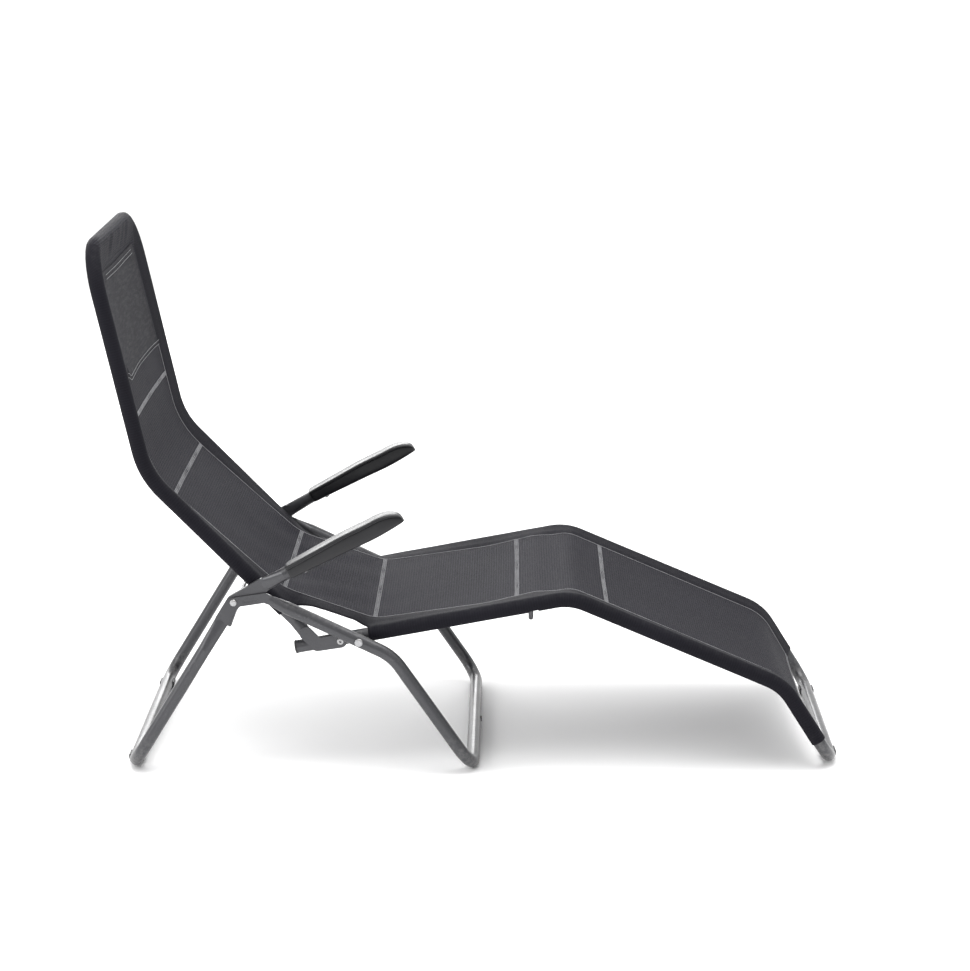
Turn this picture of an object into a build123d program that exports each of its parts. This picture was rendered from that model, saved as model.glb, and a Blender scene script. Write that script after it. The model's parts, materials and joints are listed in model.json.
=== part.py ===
"""Folding tipping sun lounger: bent steel tube frames, a fabric sling and plastic armrests.

Millimetres. +X points to the foot end, +Y to the sitter's left, +Z up.
The origin is on the floor, below the middle of the whole lounger.
Every side member is drawn on the right-hand side (negative Y) and mirrored.
"""

import math
import os

from build123d import *

# ---------------------------------------------------------------- driving sizes
TUBE_R = 12.5                # 25 mm round steel tube
TUBE_WALL = 1.5
HALF_BED = 254.0             # tube axes of the back frame and the leg frame
HALF_BASE = 290.0            # tube axes of the two standing frames
CORNER_R = 50.0              # bends into the floor bars, measured on the tube axis
HEAD_CORNER_R = 85.0
BEND_R = 100.0               # bends of the side rails
NECK_R = 160.0

LEG_PIVOT = (-447.0, 343.5)  # (X, Z) of the bolt that joins the two standing frames
BACK_PIVOT = (-246.0, 261.0)
BED_PIVOT = (-209.0, 268.0)

REAR_BAR = (-649.0, 14.5)
ARM_ANGLE = 30.0
ARM_LENGTH = 306.0
FRONT_SHOULDER = (-387.0, 353.0)
FRONT_BEND = (-146.0, 238.0)
FRONT_BAR = (7.5, 12.5)

STUB_END = (-330.0, 245.15)
KNEE = (195.0, 344.3)
CALF = (606.4, 168.4)
FOOT_BAR = (703.6, 14.5)

BACK_BEND = (-290.0, 254.0)
NECK = (-612.0, 585.0)
HEAD_BAR = (-704.8, 1010.0)

PIN_R = 4.0
RUNNING = 0.05               # radial clearance of a pin that turns in its hole
SEATED = 0.02                # radial clearance of a pin in its own body

TONGUE_T = 4.0               # thickness of the flattened tube ends
TONGUE_W = 26.0
FRONT_TONGUE_W = 19.0
PRESS_BULGE = 0.2            # how far the pressed stretch stands proud of the flat
SQUASH_T = 8.0               # thickness of the pressed stretch at the leg pivot
SQUASH_W = 28.0
BACK_TONGUE_Y = HALF_BED + TUBE_R + 0.8 + TONGUE_T / 2
SQUASH_Y = 284.0
FRONT_TONGUE_Y = SQUASH_Y + SQUASH_T / 2 + 0.5 + TONGUE_T / 2
BOW_EYE_Y = SQUASH_Y - SQUASH_T / 2 - 0.5 - TONGUE_T / 2

SLEEVE_IN = TUBE_R + 0.3
SLEEVE_OUT = TUBE_R + 1.5
FABRIC_T = 2.0
BACK_SLEEVE_START = (-352.0, 317.7)
LEG_SLEEVE_AHEAD = 19.3      # from the bed pivot along the seat rail
CALF_SLEEVE = 131.7          # from the calf bend down the rail
SEAT_HALF = 232.0

PILLOW_LOW, PILLOW_HIGH = 172.0, 396.0    # distances up the head section from the neck
PILLOW_HALF = 196.0
PILLOW_T = 22.0

ARMREST_IN, ARMREST_OUT = 269.5, 317.5
ARMREST_START = 126.0        # distance along the arm from the leg pivot
ARMREST_LENGTH = 239.0
ARMREST_H = 30.0

GLIDE_R = 15.2               # shoe under a floor bar; a flat cut at the floor
GLIDE_LENGTH = 26.0
GLIDE_TOP = 5.0              # how far above the bar's axis the shoe reaches


# ---------------------------------------------------------------- small helpers
def at(point, y):
    """A 3-D point from an (X, Z) pair and a Y."""
    return Vector(point[0], y, point[1])


def along(start, end, distance):
    """The (X, Z) point at a distance from start towards end."""
    span = math.dist(start, end)
    share = distance / span
    return (start[0] + (end[0] - start[0]) * share, start[1] + (end[1] - start[1]) * share)


def polar(start, degrees, distance):
    """The (X, Z) point at a distance from start in a direction counted up from +X."""
    angle = math.radians(degrees)
    return (start[0] + distance * math.cos(angle), start[1] + distance * math.sin(angle))


def heading(start, end):
    """Direction in degrees, counted up from +X, from one (X, Z) point to another."""
    return math.degrees(math.atan2(end[1] - start[1], end[0] - start[0]))


def swept(path, radius):
    """A round bar along a path."""
    face = Plane(origin=path @ 0, z_dir=path % 0) * Circle(radius)
    return sweep(face, path=path)


def tube(path, radius=TUBE_R, wall=TUBE_WALL):
    """A round tube along a path, open at both ends."""
    start = Plane(origin=path @ 0, z_dir=path % 0)
    face = start * (Circle(radius) - Circle(radius - wall))
    return sweep(face, path=path)


def y_cylinder(point, y_low, y_high, radius):
    """A cylinder along Y through an (X, Z) point."""
    base = Plane(origin=at(point, y_low), z_dir=(0, 1, 0))
    return extrude(base * Circle(radius), amount=y_high - y_low)


LEG_SLEEVE_START = along(BED_PIVOT, KNEE, LEG_SLEEVE_AHEAD)
LEG_SLEEVE_END = along(CALF, FOOT_BAR, CALF_SLEEVE)


def mirrored(shape):
    return mirror(shape, about=Plane.XZ)


def both_sides(shape):
    """A right-hand piece and its left-hand twin, as separate solids."""
    return Compound(children=[*shape.solids(), *mirrored(shape).solids()])


def side_plane(y):
    """Sketch plane whose x is +X and y is +Z, at a given Y; its normal is -Y."""
    return Plane(origin=(0, y, 0), x_dir=(1, 0, 0), z_dir=(0, -1, 0))


def strap(start, end, width, y_middle, thickness):
    """A flat bar with round ends between two (X, Z) points."""
    middle = ((start[0] + end[0]) / 2, (start[1] + end[1]) / 2)
    outline = SlotCenterToCenter(math.dist(start, end), width, rotation=heading(start, end))
    face = side_plane(y_middle + thickness / 2) * (Pos(middle[0], middle[1]) * outline)
    return extrude(face, amount=thickness)


def pressed_end(round_at, flat_at, y_round, y_flat, flat_w, flat_t):
    """The stretch where a round tube is pressed into a flat, off to one side."""
    direction = at(flat_at, 0) - at(round_at, 0)
    across = direction.cross(Vector(0, 1, 0))
    first = Plane(origin=at(round_at, y_round), x_dir=across, z_dir=direction)
    last = Plane(origin=at(flat_at, y_flat), x_dir=across, z_dir=direction)
    flat = Ellipse(flat_w / 2 - 2 * PRESS_BULGE, flat_t / 2 + PRESS_BULGE)
    return loft([first * Circle(TUBE_R), last * flat])


def u_path(points, corner_r, half, bend_r):
    """Side profile down the right side, across the end bar, and back up the left side."""
    right = [at(p, -half) for p in points]
    left = [at(p, half) for p in reversed(points)]
    inner = [bend_r] * (len(points) - 2)
    return FilletPolyline(*right, *left, radius=[*inner, corner_r, corner_r, *reversed(inner)])


# ---------------------------------------------------------------- rear standing frame
LEG_ANGLE = heading(REAR_BAR, LEG_PIVOT)
SQUASH_FLAT, SQUASH_ROUND = 44.0, 108.0         # on the leg, counted from the pivot
ARM_SQUASH_FLAT, ARM_SQUASH_ROUND = 64.0, 112.0 # on the arm, past the front frame's shoulder
ARM_END = polar(LEG_PIVOT, ARM_ANGLE, ARM_LENGTH)


def rear_leg_frame():
    """Legs, floor bar and arms: one bent tube, pressed flat where it is bolted."""
    leg_flat = polar(LEG_PIVOT, LEG_ANGLE + 180, SQUASH_FLAT)
    leg_round = polar(LEG_PIVOT, LEG_ANGLE + 180, SQUASH_ROUND)
    arm_flat = polar(LEG_PIVOT, ARM_ANGLE, ARM_SQUASH_FLAT)
    arm_round = polar(LEG_PIVOT, ARM_ANGLE, ARM_SQUASH_ROUND)
    frame = tube(u_path([leg_round, REAR_BAR], CORNER_R, HALF_BASE, BEND_R))
    side = tube(Line(at(arm_round, -HALF_BASE), at(ARM_END, -HALF_BASE)))
    side += pressed_end(arm_round, arm_flat, -HALF_BASE, -SQUASH_Y, SQUASH_W, SQUASH_T)
    side += pressed_end(leg_round, leg_flat, -HALF_BASE, -SQUASH_Y, SQUASH_W, SQUASH_T)
    side += strap(leg_flat, LEG_PIVOT, SQUASH_W, -SQUASH_Y, SQUASH_T)
    side += strap(LEG_PIVOT, arm_flat, SQUASH_W, -SQUASH_Y, SQUASH_T)
    side -= y_cylinder(LEG_PIVOT, -HALF_BASE - TUBE_R, -HALF_BED, PIN_R + RUNNING)
    return frame + side + mirrored(side)


def armrest():
    """Moulded armrest on the right-hand arm, with the blind hole that takes the tube."""
    local = Plane(origin=at(polar(LEG_PIVOT, ARM_ANGLE, ARMREST_START), -ARMREST_OUT),
                  x_dir=Vector(1, 0, math.tan(math.radians(ARM_ANGLE))), z_dir=(0, -1, 0))
    half = ARMREST_H / 2
    nose = ARMREST_LENGTH - half
    outline = make_hull([
        *Polyline((0, -half), (-9, half - 4), (0, half)).edges(),
        *(Pos(nose, 0) * Circle(half)).edges(),
    ])
    body = extrude(local * outline, amount=-(ARMREST_OUT - ARMREST_IN))
    body = fillet(body.edges().filter_by(Axis.Y, reverse=True), 6.0)
    hole_start = polar(LEG_PIVOT, ARM_ANGLE, ARMREST_START - 20)
    hole_end = polar(LEG_PIVOT, ARM_ANGLE, ARM_LENGTH + 0.5)
    hole = swept(Line(at(hole_start, -HALF_BASE), at(hole_end, -HALF_BASE)), TUBE_R + SEATED)
    return body - hole


SCREW_PLACES = (152.0, 282.0)
SCREW_R = 2.0


def screw_hole(distance, radius):
    """A hole straight up into the arm from below, through one wall of the tube."""
    point = at(polar(LEG_PIVOT, ARM_ANGLE, distance), -HALF_BASE)
    down = at(polar((0, 0), ARM_ANGLE - 90, 1), 0)
    start = Plane(origin=point + down * (TUBE_R - 6), z_dir=down)
    return extrude(start * Circle(radius), amount=ARMREST_H)


def armrest_screw(distance):
    """Countersunk screw from below the armrest into the arm tube."""
    point = at(polar(LEG_PIVOT, ARM_ANGLE, distance), -HALF_BASE)
    down = at(polar((0, 0), ARM_ANGLE - 90, 1), 0)
    shank = Plane(origin=point + down * (TUBE_R - 5), z_dir=down)
    head = Plane(origin=point + down * (ARMREST_H / 2), z_dir=down)
    return extrude(shank * Circle(SCREW_R), amount=8) + extrude(head * Circle(4.2), amount=1.6)


# ---------------------------------------------------------------- front standing frame
SHOULDER_FLAT, SHOULDER_ROUND = 8.0, 46.0


def front_leg_frame():
    """Front legs and floor bar: one tube with both ends pressed into narrow tongues."""
    flat_at = along(FRONT_SHOULDER, FRONT_BEND, SHOULDER_FLAT)
    round_at = along(FRONT_SHOULDER, FRONT_BEND, SHOULDER_ROUND)
    frame = tube(u_path([round_at, FRONT_BEND, FRONT_BAR], CORNER_R, HALF_BASE, BEND_R))
    side = pressed_end(round_at, flat_at, -HALF_BASE, -FRONT_TONGUE_Y, FRONT_TONGUE_W, TONGUE_T)
    side += strap(LEG_PIVOT, FRONT_SHOULDER, FRONT_TONGUE_W, -FRONT_TONGUE_Y, TONGUE_T)
    side += strap(FRONT_SHOULDER, flat_at, FRONT_TONGUE_W, -FRONT_TONGUE_Y, TONGUE_T)
    side -= y_cylinder(LEG_PIVOT, -HALF_BASE - TUBE_R, -HALF_BED, PIN_R + SEATED)
    dimple = strap(along(LEG_PIVOT, FRONT_SHOULDER, 22), along(LEG_PIVOT, FRONT_SHOULDER, 44),
                   7, -FRONT_TONGUE_Y - TONGUE_T / 2, 1.6)
    side -= dimple
    frame = frame + side + mirrored(side)
    frame -= y_cylinder(BED_PIVOT, -HALF_BASE - 20, -HALF_BASE + 20, PIN_R + SEATED)
    frame -= y_cylinder(BED_PIVOT, HALF_BASE - 20, HALF_BASE + 20, PIN_R + SEATED)
    frame -= plug_shank(PIN_R + SEATED)
    return frame


def plug_shank(radius):
    """Drain hole in the middle of the front floor bar, facing the foot end."""
    start = Plane(origin=at(FRONT_BAR, 0) + Vector(TUBE_R - 6, 0, 0), z_dir=(1, 0, 0))
    return extrude(start * Circle(radius), amount=7)


def front_bar_plug():
    """Domed plastic plug in the drain hole of the front floor bar."""
    cap = at(FRONT_BAR, 0) + Vector(TUBE_R + 0.1, 0, 0)
    head = extrude(Plane(origin=cap, z_dir=(1, 0, 0)) * Circle(6.0), amount=1.8)
    head = fillet(head.edges().filter_by(GeomType.CIRCLE).sort_by(Axis.X)[-1], 1.5)
    return plug_shank(PIN_R) + head


BOW_DROP = (-458.0, 291.0)
BOW_R = 4.0
BOW_Y = 273.2


def recline_stop_bow():
    """Bent rod below the leg pivot that the back's rails come to rest on."""
    bend_r = 13.0
    top = along(LEG_PIVOT, BOW_DROP, 12)
    path = FilletPolyline(
        at(top, -BOW_Y), at(BOW_DROP, -BOW_Y), at(BOW_DROP, BOW_Y), at(top, BOW_Y), radius=bend_r)
    rod = swept(path, BOW_R)
    eye_y = BOW_EYE_Y
    eye = y_cylinder(LEG_PIVOT, -eye_y - 2, -eye_y + 2, 10)
    eye += strap(LEG_PIVOT, along(LEG_PIVOT, BOW_DROP, 20), 11, -eye_y, 4)
    eye -= y_cylinder(LEG_PIVOT, -eye_y - 5, -eye_y + 5, PIN_R + SEATED)
    rod -= y_cylinder(LEG_PIVOT, -eye_y + 2, -eye_y + 12, 11)
    rod -= mirrored(y_cylinder(LEG_PIVOT, -eye_y + 2, -eye_y + 12, 11))
    return rod + eye + mirrored(eye)


# ---------------------------------------------------------------- pivot hardware
def dome_head(point, y, radius, height):
    """Low domed bolt head on the outside of the right-hand side, starting at Y."""
    disc = y_cylinder(point, y - height, y, radius)
    return fillet(disc.edges().filter_by(GeomType.CIRCLE).sort_by(Axis.Y)[0], height * 0.8)


def leg_pivot_bolt():
    outer = -FRONT_TONGUE_Y - TONGUE_T / 2 - 0.1
    shank = y_cylinder(LEG_PIVOT, outer, -BOW_EYE_Y + 6.6, PIN_R)
    return shank + dome_head(LEG_PIVOT, outer, 6.8, 3.2)


def leg_pivot_nut():
    inner = -BOW_EYE_Y + 2.1
    nut = y_cylinder(LEG_PIVOT, inner, inner + 4.4, 7.5)
    return nut - y_cylinder(LEG_PIVOT, inner - 1, inner + 8, PIN_R + SEATED)


def bed_pivot_bolt():
    outer = -HALF_BASE - TUBE_R - 0.1
    shank = y_cylinder(BED_PIVOT, outer, -HALF_BED + TUBE_R + 5.8, PIN_R)
    return shank + dome_head(BED_PIVOT, outer, 8.0, 3.8)


def bed_pivot_spacer():
    outer = -HALF_BASE + TUBE_R + 0.2
    inner = -HALF_BED - TUBE_R - 0.2
    spacer = y_cylinder(BED_PIVOT, outer, inner, 9.0)
    return spacer - y_cylinder(BED_PIVOT, outer - 1, inner + 1, PIN_R + SEATED)


def bed_pivot_nut():
    inner = -HALF_BED + TUBE_R + 0.2
    nut = y_cylinder(BED_PIVOT, inner, inner + 5.0, 8.0)
    return nut - y_cylinder(BED_PIVOT, inner - 1, inner + 8, PIN_R + SEATED)


def back_pivot_rivet():
    """Rivet with a hollow head."""
    outer = -BACK_TONGUE_Y - TONGUE_T / 2 - 0.2
    shank = y_cylinder(BACK_PIVOT, outer, -HALF_BED + TUBE_R + 0.1, PIN_R)
    head = dome_head(BACK_PIVOT, outer, 6.6, 2.4)
    tail = y_cylinder(BACK_PIVOT, -HALF_BED + TUBE_R + 0.1, -HALF_BED + TUBE_R + 2.6, 7.0)
    hollow = y_cylinder(BACK_PIVOT, outer - 3, outer + 3, 2.7)
    return shank + head + tail - hollow


# ---------------------------------------------------------------- leg frame (seat, knee, calf, foot bar)
KNEE_BOW_X = 119.0
KNEE_BOW_R = 5.0


def seat_height(x):
    """Height of the leg frame's tube axis between the bed pivot and the knee."""
    slope = (KNEE[1] - BED_PIVOT[1]) / (KNEE[0] - BED_PIVOT[0])
    return BED_PIVOT[1] + slope * (x - BED_PIVOT[0])


def leg_frame():
    """Seat rails, calf rails and foot bar: one bent tube with open rear ends."""
    frame = tube(u_path([STUB_END, KNEE, CALF, FOOT_BAR], CORNER_R, HALF_BED, BEND_R))
    hole = y_cylinder(BED_PIVOT, -HALF_BED - 20, -HALF_BED + 20, PIN_R + RUNNING)
    hole += y_cylinder(BACK_PIVOT, -HALF_BED - 20, -HALF_BED + 20, PIN_R + SEATED)
    return frame - hole - mirrored(hole)


def end_cap():
    """Plastic cap in the open rear end of a seat rail."""
    toward = heading(STUB_END, BED_PIVOT)
    outside = polar(STUB_END, toward, -4.1)
    edge = polar(STUB_END, toward, -0.1)
    inside = polar(STUB_END, toward, 14)
    flange = swept(Line(at(outside, -HALF_BED), at(edge, -HALF_BED)), TUBE_R + 0.6)
    flange = fillet(flange.edges().filter_by(GeomType.CIRCLE).sort_by(Axis.X)[0], 2.5)
    plug = swept(Line(at(edge, -HALF_BED), at(inside, -HALF_BED)), TUBE_R - TUBE_WALL - 0.1)
    return flange + plug


def knee_crossbar():
    """Bowed rod under the knees, welded to the undersides of the rails."""
    axis_z = seat_height(KNEE_BOW_X)
    root = (KNEE_BOW_X, axis_z - 6)
    low = (KNEE_BOW_X, axis_z - 31)
    path = FilletPolyline(
        at(root, -HALF_BED + 4), at(low, -HALF_BED + 12),
        at(low, HALF_BED - 12), at(root, HALF_BED - 4), radius=14.0)
    rod = swept(path, KNEE_BOW_R)
    rails = tube(u_path([STUB_END, KNEE, CALF, FOOT_BAR], CORNER_R, HALF_BED, BEND_R),
                 TUBE_R + SEATED, TUBE_R)
    rod -= rails
    return max(rod.solids(), key=lambda solid: solid.volume)


# ---------------------------------------------------------------- back frame
BACK_FLAT, BACK_ROUND = 30.0, 62.0


def back_path(start):
    """Back rails from a start point up over the neck and round the head."""
    right = [at(start, -HALF_BED), at(NECK, -HALF_BED), at(HEAD_BAR, -HALF_BED)]
    left = [at(HEAD_BAR, HALF_BED), at(NECK, HALF_BED), at(start, HALF_BED)]
    radii = [NECK_R, HEAD_CORNER_R, HEAD_CORNER_R, NECK_R]
    return FilletPolyline(*right, *left, radius=radii)


def back_frame():
    """Back and head: one bent tube with both lower ends pressed flat for the pivots."""
    flat_at = along(BACK_BEND, NECK, BACK_FLAT)
    round_at = along(BACK_BEND, NECK, BACK_ROUND)
    frame = tube(back_path(round_at))
    side = pressed_end(round_at, flat_at, -HALF_BED, -BACK_TONGUE_Y, TONGUE_W, TONGUE_T)
    side += strap(flat_at, BACK_BEND, TONGUE_W, -BACK_TONGUE_Y, TONGUE_T)
    side += strap(BACK_BEND, BACK_PIVOT, TONGUE_W, -BACK_TONGUE_Y, TONGUE_T)
    side -= y_cylinder(BACK_PIVOT, -HALF_BASE, -HALF_BED, PIN_R + RUNNING)
    frame = frame + side + mirrored(side)
    return frame - drain_hole()


def drain_hole():
    """Small hole in the underside of the head bar, left by the coating bath."""
    start = Plane(origin=at(HEAD_BAR, 0), z_dir=(-1, 0, 0))
    return extrude(start * Circle(2.5), amount=TUBE_R + 2)


# ---------------------------------------------------------------- sling
def band(points, radii, half, thickness):
    """A strip of fabric with a side profile, centred on that profile."""
    line = FilletPolyline(*[(p[0], p[1]) for p in points], radius=radii) if radii else Polyline(
        *[(p[0], p[1]) for p in points])
    wide = offset_strip(line, thickness)
    return extrude(side_plane(half) * wide, amount=2 * half)


def offset_strip(line, thickness):
    """The closed outline a constant distance either side of a line."""
    return trace(line, line_width=thickness)


def back_sling():
    """Fabric between the back rails, with the sleeves that the rails run through."""
    half = HALF_BED - SLEEVE_OUT + 0.6
    top = along(HEAD_BAR, NECK, SLEEVE_OUT - 0.6)
    panel = band([BACK_SLEEVE_START, NECK, top], [NECK_R], half, FABRIC_T)
    panel = round_head_corners(panel, half)
    sleeve = tube(back_path(BACK_SLEEVE_START), SLEEVE_OUT, SLEEVE_OUT - SLEEVE_IN)
    return panel + sleeve


def round_head_corners(panel, half):
    """Trim the panel's top corners to the inside of the head bend."""
    radius = HEAD_CORNER_R - SLEEVE_OUT + 0.6
    top = along(HEAD_BAR, NECK, SLEEVE_OUT - 0.6)
    centre = along(top, NECK, radius)
    up = at(HEAD_BAR, 0) - at(NECK, 0)
    for side in (-1, 1):
        flat = Plane(origin=at(centre, side * (half - radius)), x_dir=up,
                     z_dir=up.cross(Vector(0, side, 0)))
        corner = flat * (Pos(radius / 2 + 1, radius / 2 + 1) * Rectangle(radius + 2, radius + 2))
        corner -= flat * Circle(radius)
        panel -= extrude(corner, amount=10, both=True)
    return panel


def leg_path():
    """Rail axis from the front of the bed pivot to the end of the foot sleeve."""
    right = [at(p, -HALF_BED) for p in (LEG_SLEEVE_START, KNEE, CALF, LEG_SLEEVE_END)]
    return FilletPolyline(*right, radius=[BEND_R, BEND_R])


def leg_sling():
    """Fabric of the seat front, knees and calves, with its two rail sleeves."""
    half = HALF_BED - SLEEVE_OUT + 0.6
    points = [LEG_SLEEVE_START, KNEE, CALF, LEG_SLEEVE_END]
    panel = band(points, [BEND_R, BEND_R], half, FABRIC_T)
    sleeve = tube(leg_path(), SLEEVE_OUT, SLEEVE_OUT - SLEEVE_IN)
    axis_z = seat_height(KNEE_BOW_X)
    notch = Pos(KNEE_BOW_X, -HALF_BED + 8, axis_z - 11.2) * Box(16, 22, 20)
    sleeve -= notch
    return panel + sleeve + mirrored(sleeve)


def seat_sling():
    """Free stretch of fabric between the back sleeves and the seat sleeves."""
    start = along(BACK_SLEEVE_START, LEG_SLEEVE_START, 2.5)
    end = along(LEG_SLEEVE_START, BACK_SLEEVE_START, 2.5)
    return band([start, end], None, SEAT_HALF, FABRIC_T)


def headrest_pillow():
    """Padded headrest that lies on the front of the head section."""
    low = along(NECK, HEAD_BAR, PILLOW_LOW)
    high = along(NECK, HEAD_BAR, PILLOW_HIGH)
    turn = heading(NECK, HEAD_BAR) - 90
    gap = FABRIC_T / 2 + 0.4 + PILLOW_T / 2
    ends = [polar(p, turn, gap) for p in (low, high)]
    pad = band(ends, None, PILLOW_HALF, PILLOW_T)
    return fillet(pad.edges(), 8.0)


# ---------------------------------------------------------------- floor glides
def bar_glide(bar, half):
    """Slim plastic shoe clipped under a floor bar, just inside its corner, flat where it stands."""
    outer = -half + CORNER_R + 2
    shoe = y_cylinder(bar, outer, outer + GLIDE_LENGTH, GLIDE_R)
    shoe -= y_cylinder(bar, outer - 1, outer + GLIDE_LENGTH + 1, TUBE_R + SEATED)
    floor = Pos(bar[0], -half, -20) * Box(200, 300, 40)
    mouth = Pos(bar[0], -half, bar[1] + GLIDE_TOP + 20) * Box(200, 300, 40)
    return shoe - floor - mouth


# ---------------------------------------------------------------- write every node
def build_nodes():
    rest = armrest()
    for place in SCREW_PLACES:
        rest -= screw_hole(place, SCREW_R + SEATED)
    rear = rear_leg_frame()
    for place in SCREW_PLACES:
        hole = screw_hole(place, SCREW_R + SEATED)
        rear -= hole
        rear -= mirrored(hole)
    screws = [armrest_screw(place) for place in SCREW_PLACES]
    return {
        "front_leg_frame": front_leg_frame(),
        "front_bar_plug": front_bar_plug(),
        "recline_stop_bow": recline_stop_bow(),
        "leg_pivot_bolts": both_sides(leg_pivot_bolt()),
        "leg_pivot_nuts": both_sides(leg_pivot_nut()),
        "bed_pivot_bolts": both_sides(bed_pivot_bolt()),
        "bed_pivot_spacers": both_sides(bed_pivot_spacer()),
        "bed_pivot_nuts": both_sides(bed_pivot_nut()),
        "rear_leg_frame": rear,
        "armrest_right": rest,
        "armrest_left": mirrored(rest),
        "armrest_screws": Compound(children=[
            solid for screw in screws for solid in both_sides(screw).solids()]),
        "rear_glides": both_sides(bar_glide(REAR_BAR, HALF_BASE)),
        "leg_frame": leg_frame(),
        "rail_end_caps": both_sides(end_cap()),
        "knee_crossbar": knee_crossbar(),
        "back_pivot_rivets": both_sides(back_pivot_rivet()),
        "foot_glides": both_sides(bar_glide(FOOT_BAR, HALF_BED)),
        "leg_sling": leg_sling(),
        "seat_sling": seat_sling(),
        "back_frame": back_frame(),
        "back_sling": back_sling(),
        "headrest_pillow": headrest_pillow(),
    }


os.makedirs("parts", exist_ok=True)
for name, shape in build_nodes().items():
    export_step(shape, f"parts/{name}.step")
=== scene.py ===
"""Finish of a folding sun lounger: stretched mesh sling, headrest pad, armrests, stitching and materials.

Metres, in the frame's own axes: +X to the foot end, +Y to the sitter's left, +Z up.
Every side member is drawn on the right-hand side (negative Y) and mirrored.
"""

import json
import math

import bmesh
import bpy
import numpy as np
from bpy.props import FloatProperty, FloatVectorProperty, PointerProperty
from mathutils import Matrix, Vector, noise


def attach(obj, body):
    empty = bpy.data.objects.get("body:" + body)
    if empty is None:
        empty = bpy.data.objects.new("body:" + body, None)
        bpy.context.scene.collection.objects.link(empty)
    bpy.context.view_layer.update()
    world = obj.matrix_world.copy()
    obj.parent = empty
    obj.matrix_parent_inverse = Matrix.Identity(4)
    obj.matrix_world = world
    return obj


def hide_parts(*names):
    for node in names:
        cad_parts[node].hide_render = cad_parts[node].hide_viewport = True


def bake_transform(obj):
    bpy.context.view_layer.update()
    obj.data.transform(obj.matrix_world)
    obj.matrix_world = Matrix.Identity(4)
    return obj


bl_info = {
    "name": "Sun Lounger Finish",
    "version": (1, 0, 0),
    "blender": (4, 5, 0),
    "location": "3D View > Sidebar > Lounger",
    "description": "Builds the sling, headrest pad, armrests, stitching and finishes of a sun lounger",
    "category": "Object",
}

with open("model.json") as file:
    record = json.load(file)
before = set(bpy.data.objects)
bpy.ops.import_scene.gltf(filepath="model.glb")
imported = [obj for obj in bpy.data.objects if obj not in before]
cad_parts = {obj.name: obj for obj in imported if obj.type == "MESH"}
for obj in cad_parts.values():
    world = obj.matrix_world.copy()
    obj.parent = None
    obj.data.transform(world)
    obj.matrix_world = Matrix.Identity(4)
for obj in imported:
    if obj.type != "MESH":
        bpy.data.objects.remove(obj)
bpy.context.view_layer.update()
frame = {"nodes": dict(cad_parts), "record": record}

# ------------------------------------------------------------------ places shared with the frame
HALF_RAIL = 0.254                      # |Y| of the back rails and the leg rails
HEAD_CORNER_R = 0.085
NECK_R = 0.160
RAIL_BEND_R = 0.100
BACK_SLEEVE_START = (-0.352, 0.3177)   # (X, Z) on the rail axes
LEG_SLEEVE_START = (-0.192, 0.2712)
LEG_SLEEVE_END = (0.6767, 0.0570)
KNEE = (0.195, 0.3443)
CALF = (0.6064, 0.1684)
NECK = (-0.612, 0.585)
HEAD_BAR = (-0.7048, 1.010)
KNEE_BAR_X = 0.119
ARM_ANGLE = math.radians(30)
ARMREST_MIDDLE_Y = 0.2935


def joint_place(name):
    """(X, Z) of a joint's axis, from the frame."""
    joint = next(j for j in frame["record"]["behaviour"]["joints"] if j["name"] == name)
    return (joint["pos_m"][0], joint["pos_m"][2])


LEG_PIVOT = joint_place("rear_leg_fold")


# ------------------------------------------------------------------ settings
class SlingSettings(bpy.types.PropertyGroup):
    seam_inset: FloatProperty(name="Seam inset", description="From a rail's axis to the long seam",
                              default=0.046, unit="LENGTH")
    sleeve_radius: FloatProperty(name="Sleeve radius", description="Middle of the cloth round a rail",
                                 default=0.0141, unit="LENGTH")
    thickness: FloatProperty(name="Cloth thickness", description="Thickness of the woven mesh",
                             default=0.0012, unit="LENGTH")
    sag: FloatProperty(name="Sag", description="How far the middle hangs below the long seams",
                       default=0.005, unit="LENGTH")
    row: FloatProperty(name="Row length", description="Length of one row of faces", default=0.006,
                       unit="LENGTH")
    colour: FloatVectorProperty(name="Yarn colour", description="Main colour of the cloth",
                                default=(0.0118, 0.0114, 0.0152), size=3, subtype="COLOR")
    rib_pitch: FloatProperty(name="Rib pitch", description="Distance between the ribs across the sling",
                             default=0.0050, unit="LENGTH")
    weave_pitch: FloatProperty(name="Weave pitch", description="Distance between two yarns",
                               default=0.0018, unit="LENGTH")


class StitchSettings(bpy.types.PropertyGroup):
    band_width: FloatProperty(name="Band width", description="Width of the zigzag across the sling",
                              default=0.0068, unit="LENGTH")
    edge_width: FloatProperty(name="Edge width", description="Width of the zigzag along the long seams",
                              default=0.0034, unit="LENGTH")
    pitch: FloatProperty(name="Stitch pitch", description="Distance between two stitches",
                         default=0.0016, unit="LENGTH")
    thread: FloatProperty(name="Thread thickness", description="Thickness of the sewing thread",
                          default=0.0011, unit="LENGTH")
    colour: FloatVectorProperty(name="Thread colour", description="Colour of the sewing thread",
                                default=(0.25, 0.25, 0.262), size=3, subtype="COLOR")


class PadSettings(bpy.types.PropertyGroup):
    low: FloatProperty(name="Lower edge", description="Up the head section from the neck",
                       default=0.166, unit="LENGTH")
    half_width: FloatProperty(name="Half width", description="Half the pad's width at its corners",
                              default=0.203, unit="LENGTH")
    loft: FloatProperty(name="Loft", description="Thickness before the pad swells", default=0.006,
                        unit="LENGTH")
    pressure: FloatProperty(name="Pressure", description="Pressure of the filling", default=4.0)
    most: FloatProperty(name="Most swelling", description="How far a point may move as the pad swells",
                        default=0.010, unit="LENGTH")
    colour: FloatVectorProperty(name="Cover colour", description="Colour of the pad's cover",
                                default=(0.019, 0.0187, 0.0222), size=3, subtype="COLOR")


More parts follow.
